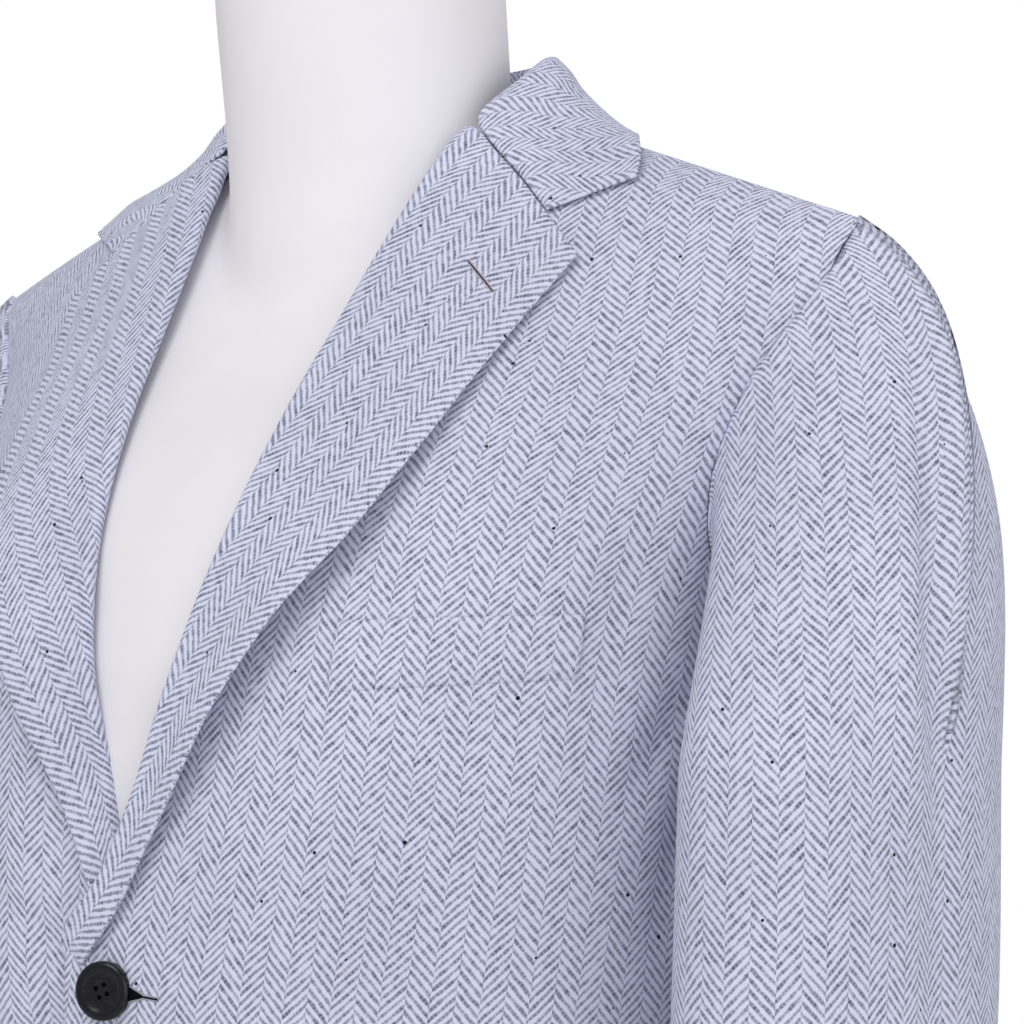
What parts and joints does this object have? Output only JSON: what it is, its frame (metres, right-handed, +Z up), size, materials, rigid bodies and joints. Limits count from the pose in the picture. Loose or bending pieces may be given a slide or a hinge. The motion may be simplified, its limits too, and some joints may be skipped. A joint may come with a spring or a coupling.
{
  "type": "blazer on dress form",
  "caption": "Single-breasted tweed blazer with notch lapels, a breast welt and flap pockets, worn by a limbless dress form on a round stand.",
  "frame": {"origin": "middle of the stand's flat underside", "axes": "+Z up, the wearer's front faces -Y and the wearer's left is +X"},
  "size_m": [0.5718, 0.33, 0.968],
  "materials": {
    "tweed": "matte herringbone wool",
    "horn": "polished near-black horn-like buttons",
    "form_cover": "smooth off-white cover",
    "stand_metal": "satin grey"
  },
  "bodies": {
    "root": {"back_left": "tweed", "back_right": "tweed", "breast_welt": "tweed", "button_front": "horn", "button_lower": "horn", "collar_leaf": "tweed", "collar_stand": "tweed", "cuff_button_1_left": "horn", "cuff_button_1_right": "horn", "cuff_button_2_left": "horn", "cuff_button_2_right": "horn", "cuff_button_3_left": "horn", "cuff_button_3_right": "horn", "flap_left": "tweed", "flap_right": "tweed", "form_stand": "stand_metal", "form_torso": "form_cover", "front_left": "tweed", "front_right": "tweed", "lapel_left": "tweed", "lapel_right": "tweed", "side_left": "tweed", "side_right": "tweed", "sleeve_top_left": "tweed", "sleeve_top_right": "tweed", "sleeve_under_left": "tweed", "sleeve_under_right": "tweed"}
  },
  "joints": []
}
